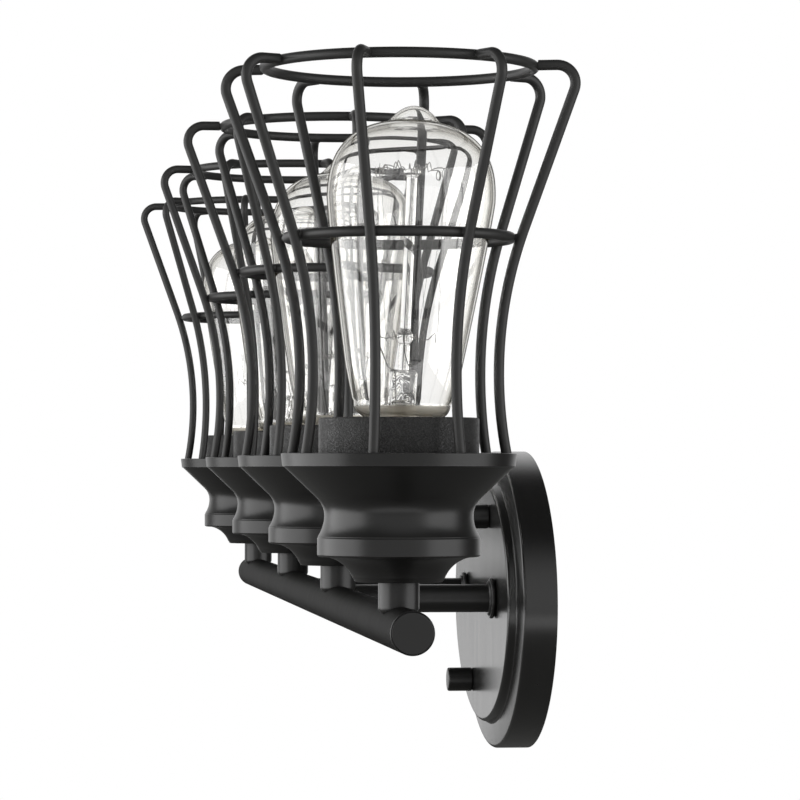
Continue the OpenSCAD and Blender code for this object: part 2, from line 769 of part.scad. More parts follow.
// Cap: a rolled sleeve with round thread ridges, an insulator and the contact button
module bulb_cap(n) {
    crest_r = cap_d / 2;
    ridge_count = floor((cap_len - 3) / cap_pitch);
    steps = 8;
    sleeve = [for (i = [0:ridge_count * steps])
        [crest_r - 0.5 + 0.5 * cos(360 * i / steps), cap_top_z - 2.4 - i * cap_pitch / steps]];
    color(brass_colour)
    at_lamp(n)
        rotate_extrude() polygon(concat(
            [[crest_r - 1.2, cap_top_z], [crest_r, cap_top_z - 0.4]],
            sleeve,
            [
                [crest_r - 1, cap_sleeve_z],
                [5.2, cap_sleeve_z - cap_insulator_h],
                [4.6, cap_sleeve_z - cap_insulator_h],
                [4.2, cap_button_z + 0.4],
                [3.4, cap_button_z],
                [0, cap_button_z],
                [0, cap_sleeve_z + 0.6],
                [glass_neck_r - 1, cap_sleeve_z + 0.6],
                [glass_neck_r + bulb_gap / 2, glass_end_z - 1],
                [glass_neck_r + bulb_gap / 2, cap_top_z - 0.5],
                [glass_neck_r + 0.75 + bulb_gap / 2, cap_top_z]
            ]
        ));
}

// Glass stem: a flare fused into the neck, a flat press and the arbor with its button
press_z = rim_height + press_height;
press_top_z = press_z + press_len;
press_w = 10.4;
press_t = 4;
button_z = rim_height + button_height;
arbor_top_z = rim_height + arbor_height;
button_r = 3.2;

module bulb_stem(n) {
    flare_r = glass_neck_r - glass_t - bulb_gap / 2;
    arbor_r = arbor_d / 2;
    color(clear_glass)
    at_lamp(n)
        union() {
            rotate_extrude($fn = 48) polygon([
                [flare_r, glass_end_z],
                [flare_r, glass_end_z + 1],
                [press_w / 2, glass_end_z + 7],
                [press_w / 2, press_z],
                [0, press_z],
                [0, press_z - 3],
                [press_w / 2 - 1, press_z - 3],
                [press_w / 2 - 1, glass_end_z + 7],
                [flare_r - 1, glass_end_z]
            ]);
            translate([-press_w / 2, -press_t / 2, press_z - 0.5]) cube([press_w, press_t, press_len + 0.5]);
            translate([0, 0, press_top_z - 0.5])
                cylinder(r = arbor_r, h = arbor_top_z - press_top_z + 0.5, $fn = 32);
            translate([0, 0, button_z]) sphere(r = button_r, $fn = 32);
            translate([0, 0, arbor_top_z - 1]) cylinder(r = button_r, h = 2, $fn = 32);
        }
}

// Filament: two lead wires up from the press, support wires from the arbor, and the thread
// that runs up and down between their ends
support_count = 6;

module bulb_filament(n) {
    r = support_d / 2;
    thread_r = 0.22;
    color("#8d8f92")
    at_lamp(n)
        union() {
            for (i = [0:support_count - 1]) {
                low_a = i * 360 / support_count;
                top_a = low_a + 180 / support_count;
                next_a = low_a + 360 / support_count;
                low_end = [low_support_r * cos(low_a), low_support_r * sin(low_a), button_z + 2];
                top_end = [top_support_r * cos(top_a), top_support_r * sin(top_a), arbor_top_z + 2];
                next_end = [low_support_r * cos(next_a), low_support_r * sin(next_a), button_z + 2];
                root_r = button_r + seat_gap;
                rod([root_r * cos(low_a), root_r * sin(low_a), button_z], low_end, r, 12);
                rod([root_r * cos(top_a), root_r * sin(top_a), arbor_top_z], top_end, r, 12);
                translate(low_end) sphere(r = 1.6 * r, $fn = 16);
                translate(top_end) sphere(r = 1.6 * r, $fn = 16);
                rod(low_end, top_end, thread_r, 12);
                if (i < support_count - 1) rod(top_end, next_end, thread_r, 12);
            }
            rod([4, 0, press_top_z + 0.05], [low_support_r, 0, button_z + 2], r, 12);
        }
}

backplate();
mounting_bracket();
bracket_studs();
stud_nuts();
ground_screw();
cap_nut_upper();
cap_nut_lower();
arm_left();
arm_right();
arm_collars();
arm_nuts();
bar_tube();
bar_end_caps();
cup_stems();
lead_wires();
lamp_nipples();
nipple_nuts();
screw_shells();
socket_contacts();
for (n = [1:4]) {
    cup(n);
    socket_cover(n);
    socket(n);
    cage_wires(n);
    cage_ring(n, top_ring_r, top_ring_height);
    cage_ring(n, mid_ring_r, mid_ring_height);
    bulb_glass(n);
    bulb_cap(n);
    bulb_stem(n);
    bulb_filament(n);
}
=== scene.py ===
import math

import bpy
from mathutils import Matrix, Vector


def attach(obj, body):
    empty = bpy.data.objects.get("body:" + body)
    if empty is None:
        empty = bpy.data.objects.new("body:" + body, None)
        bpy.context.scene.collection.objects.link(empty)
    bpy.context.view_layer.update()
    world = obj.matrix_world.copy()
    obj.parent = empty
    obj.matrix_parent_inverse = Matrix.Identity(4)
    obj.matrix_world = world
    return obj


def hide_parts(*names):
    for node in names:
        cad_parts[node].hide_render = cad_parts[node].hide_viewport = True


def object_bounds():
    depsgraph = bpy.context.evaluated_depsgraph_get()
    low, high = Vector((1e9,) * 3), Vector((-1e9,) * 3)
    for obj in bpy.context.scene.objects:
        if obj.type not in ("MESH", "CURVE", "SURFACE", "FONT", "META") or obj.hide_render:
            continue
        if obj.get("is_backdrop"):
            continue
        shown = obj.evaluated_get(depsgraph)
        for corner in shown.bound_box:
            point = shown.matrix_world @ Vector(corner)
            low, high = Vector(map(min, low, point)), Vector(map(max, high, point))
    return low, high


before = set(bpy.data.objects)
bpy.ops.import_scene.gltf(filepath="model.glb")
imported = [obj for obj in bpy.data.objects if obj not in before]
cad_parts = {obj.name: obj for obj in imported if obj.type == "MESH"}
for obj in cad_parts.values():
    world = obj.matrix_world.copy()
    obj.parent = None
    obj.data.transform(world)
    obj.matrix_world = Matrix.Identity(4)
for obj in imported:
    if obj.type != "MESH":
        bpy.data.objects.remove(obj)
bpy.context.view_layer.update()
MM = 0.001


# Camera: a long lens a good way off the right end of the bar, near the height of the cups,
# turned a few degrees towards the wall, so that the four lamps stand one behind the other.
IMAGE_SIDE = 800
FOCAL_PIXELS = 3592.4
SENSOR = 36
FAR_CLIP = 50
YAW = math.radians(-6.483)
PITCH = math.radians(1.111)
ROLL = math.radians(0.07)
CAMERA_PLACE = (1708.8, -253.9, 59.8)

lens = bpy.data.cameras.new("camera")
lens.sensor_width = SENSOR
lens.lens = FOCAL_PIXELS / IMAGE_SIDE * SENSOR
lens.clip_end = FAR_CLIP
camera = bpy.data.objects.new("camera", lens)
bpy.context.scene.collection.objects.link(camera)
aim = Vector((-math.cos(YAW) * math.cos(PITCH), -math.sin(YAW) * math.cos(PITCH), math.sin(PITCH)))
upright = aim.to_track_quat("-Z", "Y").to_matrix()
camera.rotation_euler = (upright @ Matrix.Rotation(ROLL, 3, "Z")).to_euler()
camera.location = Vector(CAMERA_PLACE) * MM
bpy.context.scene.camera = camera


# Studio: a plain pale floor and a white surround that the lens sees as white. Two soft
# panels light the lamps from both sides of the lens, and a weak low one from underneath.
FLOOR_Z = -420 * MM
FLOOR_SIZE = 6

bpy.ops.object.select_all(action="DESELECT")
bpy.ops.mesh.primitive_plane_add(size=FLOOR_SIZE, location=(0, 0, FLOOR_Z))
floor = bpy.context.object
floor.name = "floor"
floor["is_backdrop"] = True


class Wire:
    """A socket of a node tree. A sign between two of them adds its Math node."""

    def __init__(self, tree, socket):
        self.tree = tree
        self.socket = socket

    def worked(self, operation, first, second):
        return self.tree.add("ShaderNodeMath", {"operation": operation}, {0: first, 1: second})

    def __add__(self, other):
        return self.worked("ADD", self, other)

    def __radd__(self, other):
        return self.worked("ADD", other, self)

    def __rsub__(self, other):
        return self.worked("SUBTRACT", other, self)

    def __mul__(self, other):
        return self.worked("MULTIPLY", self, other)

    def __rmul__(self, other):
        return self.worked("MULTIPLY", other, self)


class Tree:
    """A node tree that is put together one node at a time."""

    def __init__(self, owner):
        owner.use_nodes = True
        self.nodes = owner.node_tree.nodes
        self.links = owner.node_tree.links

    def add(self, kind, settings, inputs, output=0):
        """Adds a node: its settings first, then the values or links of its sockets."""
        node = self.nodes.new(kind)
        for name, value in settings.items():
            if name == "stops":
                self.shaded(node.color_ramp, value)
            else:
                setattr(node, name, value)
        for name, value in inputs.items():
            self.join(value, node.inputs[name])
        return Wire(self, node.outputs[output])

    def shaded(self, ramp, stops):
        """Puts the outer stops on a ramp's own two ends, and adds the rest between them."""
        first, last = ramp.elements[0], ramp.elements[1]
        for end, (place, shade) in ((first, stops[0]), (last, stops[-1])):
            end.position = place
            end.color = shade
        for place, shade in stops[1:-1]:
            ramp.elements.new(place).color = shade

    def join(self, value, socket):
        if isinstance(value, Wire):
            self.links.new(value.socket, socket)
        else:
            socket.default_value = value

    def eased(self, value, start, end, top=1.0):
        """Rises smoothly from 0 to top while a value goes from start to end."""
        return self.add("ShaderNodeMapRange", {"interpolation_type": "SMOOTHSTEP"}, {
            "Value": value, "From Min": start, "From Max": end, "To Min": 0.0, "To Max": top})


WHITE = (1, 1, 1, 1)
AMBIENT = 0.42
# What gloss shows of the surround: the backdrop, the dim sides, and the side of the lens
BACKDROP_GLOSS, BACKDROP_EDGE = 1.0, (-0.66, -0.9)
SIDE_GLOSS = 0.04
LENS_GLOSS, LENS_EDGE = 0.62, (0.3, 0.9)

world = bpy.data.worlds.new("studio")
bpy.context.scene.world = world
studio = Tree(world)
path = {name: studio.add("ShaderNodeLightPath", {}, {}, name)
        for name in ("Is Camera Ray", "Is Transmission Ray", "Is Glossy Ray")}
heading = studio.add("ShaderNodeTexCoord", {}, {}, "Generated")
across = studio.add("ShaderNodeSeparateXYZ", {}, {"Vector": heading}, "X")
surround = (SIDE_GLOSS + studio.eased(across, *BACKDROP_EDGE, BACKDROP_GLOSS)
            + studio.eased(across, *LENS_EDGE, LENS_GLOSS))
seen = path["Is Camera Ray"] + path["Is Transmission Ray"]
glossed = path["Is Glossy Ray"] * (1 - path["Is Transmission Ray"])
level = seen + (1 - seen) * (glossed * surround + (1 - path["Is Glossy Ray"]) * AMBIENT)
studio.join(level, studio.nodes["Background"].inputs["Strength"])
studio.join(WHITE, studio.nodes["Background"].inputs["Color"])

# The lens sees pale paper. Every other ray sees it dark, so that it throws little light up
PAPER_MOTTLE = 3.0
PAPER_SHADES = [(0.3, (0.86, 0.86, 0.85, 1)), (0.7, (0.9, 0.9, 0.89, 1))]
PAPER_ROUGH = 0.9
UNLIT_PAPER = (0.16, 0.16, 0.155, 1)

paper = bpy.data.materials.new("pale_paper")
sheet = Tree(paper)
shader = sheet.nodes["Principled BSDF"]
fibres = sheet.add("ShaderNodeTexCoord", {}, {}, "Object")
mottle = sheet.add("ShaderNodeTexNoise", {}, {"Vector": fibres, "Scale": PAPER_MOTTLE, "Detail": 4.0})
pale = sheet.add("ShaderNodeValToRGB", {"stops": PAPER_SHADES}, {"Fac": mottle})
watched = sheet.add("ShaderNodeLightPath", {}, {}, "Is Camera Ray")
sheet.join(sheet.add("ShaderNodeMix", {"data_type": "RGBA"}, {0: watched, 6: UNLIT_PAPER, 7: pale}, 2),
           shader.inputs["Base Color"])
sheet.join(PAPER_ROUGH, shader.inputs["Roughness"])
floor.data.materials.append(paper)


def panel(name, place, target, width, height, power):
    """A soft panel of light that faces its target, in metres and watts."""
    light = bpy.data.lights.new(name, "AREA")
    light.shape = "RECTANGLE"
    light.size = width
    light.size_y = height
    light.energy = power
    lamp = bpy.data.objects.new(name, light)
    lamp.location = place
    lamp.rotation_euler = (Vector(target) - Vector(place)).to_track_quat("-Z", "Y").to_euler()
    lamp.visible_camera = False
    bpy.context.scene.collection.objects.link(lamp)


panel("soft_left", (0.08, -1.47, 0.1), (0.2, -0.1, 0.08), width=2.2, height=1.4, power=26)
panel("low_card", (0.95, -0.2, -0.4), (0.2, -0.1, 0.1), width=1.3, height=0.45, power=2.2)
panel("soft_right", (0.95, 1.17, 0.1), (0.2, -0.1, 0.08), width=1.5, height=1.4, power=12)

GLASS_BOUNCES = 40
GLOSS_BOUNCES = 8
CLEAR_BOUNCES = 24
scene = bpy.context.scene
scene.view_settings.view_transform = "Standard"
scene.cycles.max_bounces = GLASS_BOUNCES
scene.cycles.transmission_bounces = GLASS_BOUNCES
scene.cycles.glossy_bounces = GLOSS_BOUNCES
scene.cycles.transparent_max_bounces = CLEAR_BOUNCES


# Backplate: a pressed steel pan, satin black. Its side runs up from the wall to a rounded
# corner, a margin that slopes up a little, and the raised face. Its middle hangs a little
# below the arms, and four holes pass the arms and studs.
PLATE_HALF_W = 106
PLATE_HALF_H = 70.8
PLATE_DROP = 2.2
ARM_X = 49
ARM_HOLE_R = 5.1
NUT_X, NUT_Z = 29, 40
STUD_HOLE_R = 2.3
THROUGH = 60
PLATE_SIDES = 192
HOLD = 0.3
ALONG_Y = (math.pi / 2, 0, 0)


def only(*objects):
    """Selects these objects and nothing else."""
    bpy.ops.object.select_all(action="DESELECT")
    for each in objects:
        each.select_set(True)
    bpy.context.view_layer.objects.active = objects[0]
    return objects[0]


def rounded(corners, steps=5):
    """A line through corners (a, b) or (a, b, radius), with the given radii rounded off.
    A point beside each round holds the flats next to it flat."""
    spots = [Vector(corner[:2]) for corner in corners]
    legs = [b - a for a, b in zip(spots, spots[1:])]
    reach = [0.0] * len(corners)
    for i in range(1, len(legs)):
        if len(corners[i]) > 2:
            reach[i] = corners[i][2] / math.tan((-legs[i - 1]).angle(legs[i]) / 2)
    line = []
    for i, here in enumerate(spots):
        if not reach[i]:
            line.append(tuple(here))
            continue
        back, ahead = -legs[i - 1].normalized(), legs[i].normalized()
        middle = here + (back + ahead).normalized() * corners[i][2] / math.sin(back.angle(ahead) / 2)
        start = here + back * reach[i] - middle
        end = here + ahead * reach[i] - middle
        swing = start.angle_signed(end)
        spare = [min(HOLD, (legs[j].length - reach[j] - reach[j + 1]) / 3) for j in (i - 1, i)]
        line.append(tuple(here + back * (reach[i] + spare[0])))
        for k in range(steps + 1):
            line.append(tuple(middle + Matrix.Rotation(-swing * k / steps, 2) @ start))
        line.append(tuple(here + ahead * (reach[i] + spare[1])))
    return line


def smooth(piece, angle=32):
    """Shades a piece smooth, with its edges sharper than the angle kept."""
    only(piece)
    bpy.ops.object.shade_smooth_by_angle(angle=math.radians(angle))


def applied(piece, kind, **settings):
    """Adds a modifier and applies it."""
    only(piece)
    modifier = piece.modifiers.new(kind.lower(), kind)
    for name, value in settings.items():
        setattr(modifier, name, value)
    bpy.ops.object.modifier_apply(modifier=modifier.name)


def drilled(piece, cutter):
    """Takes a cutter out of a piece."""
    applied(piece, "BOOLEAN", object=cutter, operation="DIFFERENCE", solver="EXACT")
    bpy.data.objects.remove(cutter)


def drill(radius, length, place, turn, sides=64):
    """A round cutter in millimetres."""
    bpy.ops.object.select_all(action="DESELECT")
    bpy.ops.mesh.primitive_cylinder_add(
        vertices=sides, radius=radius * MM, depth=length * MM,
        location=Vector(place) * MM, rotation=turn)
    return bpy.context.object


# Section of the sheet as (how far in from the rim, how far off the wall), from inside to outside
plate_rings = rounded([
    (22, 19.8), (14.2, 19.8, 0.8), (13.6, 15.7, 0.3), (1.2, 14.2, 0.8), (1.2, 0),
    (0, 0), (0, 15.5, 1.6), (12.2, 16.9, 1.1), (12.9, 21, 1.9), (22, 21),
], 7)
bpy.ops.object.select_all(action="DESELECT")
bpy.ops.mesh.primitive_circle_add(vertices=PLATE_SIDES, radius=MM, rotation=ALONG_Y)
plate = bpy.context.object
bpy.ops.object.transform_apply(rotation=True)
bpy.ops.object.mode_set(mode="EDIT")
half_w, half_h = 1.0, 1.0
depth = 0.0
for i, (inset, height) in enumerate(plate_rings):
    if i:
        bpy.ops.mesh.extrude_region_move(TRANSFORM_OT_translate={"value": (0, (depth - height) * MM, 0)})
    else:
        bpy.ops.transform.translate(value=(0, -height * MM, 0))
    depth = height
    stretch = ((PLATE_HALF_W - inset) / half_w, 1, (PLATE_HALF_H - inset) / half_h)
    bpy.ops.transform.resize(value=stretch, center_override=(0, 0, 0))
    half_w, half_h = PLATE_HALF_W - inset, PLATE_HALF_H - inset
bpy.ops.mesh.edge_face_add()
bpy.ops.mesh.select_all(action="SELECT")
bpy.ops.mesh.region_to_loop()
bpy.ops.mesh.edge_face_add()
bpy.ops.mesh.select_all(action="SELECT")
bpy.ops.mesh.normals_make_consistent(inside=False)
bpy.ops.object.mode_set(mode="OBJECT")
plate.name = "backplate_pressing"
plate.location.z = -PLATE_DROP * MM
bpy.ops.object.transform_apply(location=True)
for side in (-1, 1):
    drilled(plate, drill(ARM_HOLE_R, THROUGH, (side * ARM_X, 0, 0), ALONG_Y))
    drilled(plate, drill(STUD_HOLE_R, THROUGH, (side * NUT_X, 0, side * NUT_Z - PLATE_DROP), ALONG_Y))
smooth(plate)


class Finish(Tree):
    """A material: its shader, with constants on its own sockets and patterns joined to them."""

    def __init__(self, name, **constants):
        self.material = bpy.data.materials.new(name)
        super().__init__(self.material)
        self.shader = self.nodes["Principled BSDF"]
        for words, value in constants.items():
            self.join(value, self.shader.inputs[words.replace("_", " ")])

    def grain(self, scale, stretch=(1, 1, 1), detail=3.0, rough=0.5):
        """Noise in the piece's own space, from 0 to 1."""
        place = self.add("ShaderNodeTexCoord", {}, {}, "Object")
        stretched = self.add("ShaderNodeMapping", {}, {"Vector": place, "Scale": stretch})
        return self.add("ShaderNodeTexNoise", {}, {
            "Vector": stretched, "Scale": scale, "Detail": detail, "Roughness": rough})

    def blend(self, amount, dark, light):
        return self.add("ShaderNodeMix", {"data_type": "RGBA"}, {0: amount, 6: dark, 7: light}, 2)

    def colour(self, value):
        self.join(value, self.shader.inputs["Base Color"])

    def roughness(self, value):
        self.join(value, self.shader.inputs["Roughness"])

    def relief(self, height, depth_mm, strength=1.0):
        bump = self.add("ShaderNodeBump", {}, {
            "Height": height, "Strength": strength, "Distance": depth_mm * MM})
        self.join(bump, self.shader.inputs["Normal"])

    def on(self, *pieces):
        """Puts the finish on pieces in place of what they had."""
        for piece in pieces:
            piece.data.materials.clear()
            piece.data.materials.append(self.material)


DRIFT_SCALE = 22
PEEL_SCALE = 520
PEEL_DEPTH = 0.012
PEEL_SHEEN = 0.04


def paint(name, dark, light, rough, gloss, sheen=0.08, streak=(1, 1, 1)):
    """Satin black powder paint: a faint orange peel, and slow drifts of sheen over the sheet."""
    coat = Finish(name, Specular_IOR_Level=gloss)
    drift = coat.grain(DRIFT_SCALE, streak, rough=0.55)
    peel = coat.grain(PEEL_SCALE, detail=2.0)
    coat.colour(coat.blend(drift, dark, light))
    coat.roughness(rough + sheen * drift + PEEL_SHEEN * peel)
    coat.relief(peel, PEEL_DEPTH, 0.5)
    return coat


plate_paint = paint(
    "plate_black", dark=(0.007, 0.0069, 0.0066, 1), light=(0.012, 0.0118, 0.0112, 1),
    rough=0.21, gloss=0.75, sheen=0.05, streak=(5, 5, 0.5))
plate_paint.on(plate)
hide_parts("backplate")
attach(plate, "fixture")


# Cap nuts: two short round blind nuts on the studs, satin black, with softened ends.
# They hold the plate on its bracket and screw off towards the room.
NUT_SEAT_Y = -21.05
AXES = {"X": (1, 0, 0), "Y": (0, 1, 0), "Z": (0, 0, 1)}
SEAM = 1e-6


def set_along(line, axis):
    """Outline points (radius, height) in millimetres, set along an axis through the origin."""
    if axis == "Z":
        return [Vector((r, 0, h)) * MM for r, h in line]
    if axis == "X":
        return [Vector((h, 0, r)) * MM for r, h in line]
    return [Vector((r, -h, 0)) * MM for r, h in line]


def drawn(name, points):
    """Draws a line through points by extruding one vertex. The piece stays in edit mode."""
    bpy.ops.object.select_all(action="DESELECT")
    bpy.ops.mesh.primitive_plane_add(size=MM)
    piece = bpy.context.object
    piece.name = name
    bpy.ops.object.mode_set(mode="EDIT")
    bpy.ops.mesh.merge(type="CENTER")
    bpy.ops.transform.translate(value=points[0])
    for here, there in zip(points, points[1:]):
        bpy.ops.mesh.extrude_region_move(TRANSFORM_OT_translate={"value": there - here})
    return piece


def turned(name, line, sides=96, axis="Z", closed=True, angle=32):
    """Turns an outline of (radius, height) round an axis, as on a lathe. A closed outline
    runs back to its first point, and an open one ends on the axis or is a sheet."""
    points = set_along(line, axis)
    if closed:
        points.append(points[0])
    piece = drawn(name, points)
    bpy.ops.mesh.select_all(action="SELECT")
    bpy.ops.mesh.remove_doubles(threshold=SEAM)
    bpy.ops.mesh.spin(steps=sides, angle=2 * math.pi, center=(0, 0, 0), axis=AXES[axis])
    bpy.ops.mesh.select_all(action="SELECT")
    bpy.ops.mesh.remove_doubles(threshold=SEAM)
    bpy.ops.mesh.normals_make_consistent(inside=False)
    bpy.ops.object.mode_set(mode="OBJECT")
    smooth(piece, angle)
    return piece


def moved(piece, place, turn=0.0):
    """Turns a piece about Z, sets it down at a place in millimetres and settles it into its mesh."""
    only(piece)
    piece.location = Vector(place) * MM
    piece.rotation_euler = (0, 0, turn)
    bpy.ops.object.transform_apply(location=True, rotation=True, scale=True)
    return piece


def copied(piece, name, place, turn=0.0):
    """A copy with its own mesh, set down at a place."""
    only(piece)
    bpy.ops.object.duplicate(linked=False)
    copy = bpy.context.object
    copy.name = name
    return moved(copy, place, turn)


satin = paint("satin_black", dark=(0.0072, 0.0071, 0.0068, 1), light=(0.0127, 0.0125, 0.012, 1),
              rough=0.28, gloss=0.5)
cap_nut = turned("cap_nut", rounded([
    (0, 9), (2.11, 9), (2.11, 0), (5.2, 0), (5.7, 0.55, 0.2), (5.7, 12, 0.9), (0, 12),
]), sides=64, axis="Y", closed=False)
for name, side in (("cap_nut_upper", 1), ("cap_nut_lower", -1)):
    nut = copied(cap_nut, name + "_turned", (side * NUT_X, NUT_SEAT_Y, side * NUT_Z - PLATE_DROP))
    satin.on(nut)
    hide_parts(name)
    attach(nut, name.replace("cap_nut", "nut"))
bpy.data.objects.remove(cap_nut)


# Bar: one straight steel tube with a flush disc in each end, satin black. A fine groove
# shows between the tube's end and the disc. Drilled on top for each lamp's leads.
BAR_R = 8.25
BAR_BORE_R = 7.05
BAR_HALF = 406
TUBE_HALF = 404.8
BAR_Y = -101
LAMP_X = (360, 120, -120, -360)
LEAD_HOLE_R = 3.5
LEAD_HOLE_SIDES = 32
WALL_MIDDLE, WALL_THROUGH = 8, 12
ALONG_Z = (0, 0, 0)
bar_paint = paint(
    "bar_black", dark=(0.004, 0.0039, 0.0036, 1), light=(0.009, 0.0088, 0.008, 1),
    rough=0.52, gloss=0.04, streak=(6, 0.6, 0.6))
bar = turned("bar_drawn_tube", rounded([
    (BAR_BORE_R, -TUBE_HALF), (BAR_R, -TUBE_HALF, 0.1), (BAR_R, -300), (BAR_R, -100), (BAR_R, 100),
    (BAR_R, 300), (BAR_R, TUBE_HALF, 0.1), (BAR_BORE_R, TUBE_HALF), (BAR_BORE_R, 0),
]), axis="X")
for x in LAMP_X:
    drilled(bar, drill(LEAD_HOLE_R, WALL_THROUGH, (x, 0, WALL_MIDDLE), ALONG_Z, LEAD_HOLE_SIDES))
for side in (-1, 1):
    place = (side * ARM_X, WALL_MIDDLE, 0)
    drilled(bar, drill(LEAD_HOLE_R, WALL_THROUGH, place, ALONG_Y, LEAD_HOLE_SIDES))
smooth(bar)
moved(bar, (0, BAR_Y, 0))
bar_paint.on(bar)
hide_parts("bar_tube")
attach(bar, "fixture")


def joined(name, pieces):
    """Joins pieces into one mesh."""
    whole = only(*pieces)
    bpy.ops.object.join()
    whole.name = name
    return whole


end_cap = turned("end_cap", rounded([
    (0, -6.2), (6.5, -6.2), (7.0, -5.7), (7.0, -1.2), (BAR_R, -1.2, 0.1), (BAR_R, -0.45, 0.25),
    (7.95, -0.3), (7.85, -0.55), (7.75, -0.3), (7.7, 0, 0.18), (0, 0),
]), axis="X", closed=False)
ends = joined("bar_end_discs", [
    copied(end_cap, "cap_right", (BAR_HALF, BAR_Y, 0)),
    copied(end_cap, "cap_left", (-BAR_HALF, BAR_Y, 0), math.pi)])
bpy.data.objects.remove(end_cap)
satin.on(ends)
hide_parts("bar_end_caps")
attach(ends, "fixture")


# Stems: short turned steel tubes under the cups, satin black, rounded at the foot and coped
# onto the bar. The lamp's nipple screws into the wider bore at the top.
STEM_R = 7.8
STEM_FOOT_Z = 5.5
NIPPLE_BORE_R = 4.88
CUP_BOTTOM_Z = 17.4
COPE_SIDES = 192
COPED_ANGLE = 28
ALONG_X = (0, math.pi / 2, 0)
stem = turned("stem", rounded([
    (LEAD_HOLE_R, 0), (5.5, 0), (5.5, STEM_FOOT_Z), (STEM_R, STEM_FOOT_Z, 2.25),
    (STEM_R, CUP_BOTTOM_Z, 0.2), (NIPPLE_BORE_R, CUP_BOTTOM_Z), (NIPPLE_BORE_R, 9.4), (LEAD_HOLE_R, 9.4),
], 8))
drilled(stem, drill(BAR_R, 40, (0, 0, 0), ALONG_X, COPE_SIDES))
smooth(stem, COPED_ANGLE)
stems = joined("coped_stems", [
    copied(stem, "stem_%d" % n, (x, BAR_Y, 0)) for n, x in enumerate(LAMP_X, 1)])
bpy.data.objects.remove(stem)
satin.on(stems)
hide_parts("cup_stems")
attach(stems, "fixture")


# Arms: two steel tubes from the bar's back to the plate, satin black, coped onto the bar, with
# a turned bead collar round each where it meets the plate.
PLATE_FACE = 21
ARM_R = 6.5
COLLAR_BORE_R = 6.55
for name, side in (("arm_left", -1), ("arm_right", 1)):
    arm = turned("arm", rounded([
        (LEAD_HOLE_R, 14.8), (4.85, 14.8), (4.85, PLATE_FACE), (ARM_R, PLATE_FACE, 0.15),
        (ARM_R, -BAR_Y), (5.3, -BAR_Y), (5.3, 27), (LEAD_HOLE_R, 27),
    ]), sides=72, axis="Y")
    drilled(arm, drill(BAR_R, 60, (0, BAR_Y, 0), ALONG_X, COPE_SIDES))
    smooth(arm, COPED_ANGLE)
    moved(arm, (side * ARM_X, 0, 0))
    arm.name = name + "_tube"
    satin.on(arm)
    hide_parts(name)
    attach(arm, "fixture")

collar = turned("collar", rounded([
    (COLLAR_BORE_R, 0), (8.3, 0, 0.15), (8.7, 0.35, 0.15), (9.5, 0.35, 0.9), (9.5, 2.35, 0.95),
    (8.2, 2.4, 0.2), (8.1, 2.75, 0.15), (7.45, 3.3, 0.25), (COLLAR_BORE_R, 3.3),
]), axis="Y")
collars = joined("bead_collars", [
    copied(collar, "collar_%d" % side, (side * ARM_X, -PLATE_FACE, 0)) for side in (-1, 1)])
bpy.data.objects.remove(collar)
satin.on(collars)
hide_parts("arm_collars")
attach(collars, "fixture")


# Cups: spun steel shells, satin black. An upright lip, a cone down to a hollow neck, a plain
# lower band and a hollow curve in to the flat foot that stands on the stem.
RIM_Z = 66
CUP_WALL = 1.2
CUP_SIDES = 128


def arc(middle, radius, start, end, steps):
    """Points on an arc, angles in degrees."""
    turns = [math.radians(start + (end - start) * k / steps) for k in range(steps + 1)]
    return [(middle[0] + radius * math.cos(a), middle[1] + radius * math.sin(a)) for a in turns]


def walled(name, line, wall, sides, angle=32):
    """A turned sheet shell: the outline is its outside, and the wall grows inwards."""
    shell = turned(name, line, sides, "Z", False, angle)
    applied(shell, "SOLIDIFY", thickness=wall * MM, offset=-1, use_even_offset=True)
    smooth(shell, angle)
    return shell


# Outline as (radius, height from the rim): lip, cone, neck, band, foot
cup_line = rounded([
    (43.9, 0), (44.65, -0.15, 0.2), (44.1, -4.6, 0.15), (44.1, -4.95, 0.15), (43.3, -5.3, 0.2),
    (42.2, -6.3)])
cup_line += arc((37.2, -23.5), 9, 133, 180, 10)
cup_line += arc((42.2, -23.5), 14, 182, 214, 9)
cup_line += rounded([
    (30.55, -31.6), (30.85, -32.1, 0.5), (30.85, -38.4, 0.4), (30.2, -38.95, 0.15), (29.6, -39.05)])
cup_line += arc((29.45, -52), 13, 91, 158, 22)
cup_line += rounded([(17.1, -47.4), (16.5, -48.6, 0.7), (5.1, -48.6)])
cup = walled("cup", cup_line, CUP_WALL, CUP_SIDES)
for n, x in enumerate(LAMP_X, 1):
    one = copied(cup, "spun_cup_%d" % n, (x, BAR_Y, RIM_Z))
    satin.on(one)
    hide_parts("cup_%d" % n)
    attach(one, "fixture")
bpy.data.objects.remove(cup)


# Socket covers: pressed cans in a fine pebbled black, each with a round mouth for the bulb,
# its foot resting on the cup's inner cone.
COVER_R, COVER_BORE_R, MOUTH_R = 30.4, 29.2, 21.3
COVER_TOP, COVER_FOOT = 13.4, -15.8
PEBBLE_SCALE, CLUMP_SCALE = 1700, 900
PEBBLE_EDGE = (0.42, 0.62)
PEBBLE_DEPTH = 0.25
# Painted shade in the pits of the grit and painted highlight on its tops
PEBBLE_PIT_SHADE, PEBBLE_TOP_HIGHLIGHT = (0.0055, 0.0055, 0.0052, 1), (0.036, 0.0355, 0.0345, 1)
PIT_ROUGH, TOP_ROUGHER = 0.36, 0.24
cover = turned("cover", rounded([
    (COVER_BORE_R, COVER_FOOT), (COVER_R, COVER_FOOT), (COVER_R, COVER_TOP, 0.7),
    (MOUTH_R, COVER_TOP, 0.2), (MOUTH_R, 12.2), (COVER_BORE_R, 12.2),
]), sides=CUP_SIDES)
pebble = Finish("pebbled_black", Specular_IOR_Level=0.5)
grit = pebble.grain(PEBBLE_SCALE, detail=2.0, rough=0.6)
clumps = pebble.grain(CLUMP_SCALE, detail=2.0)
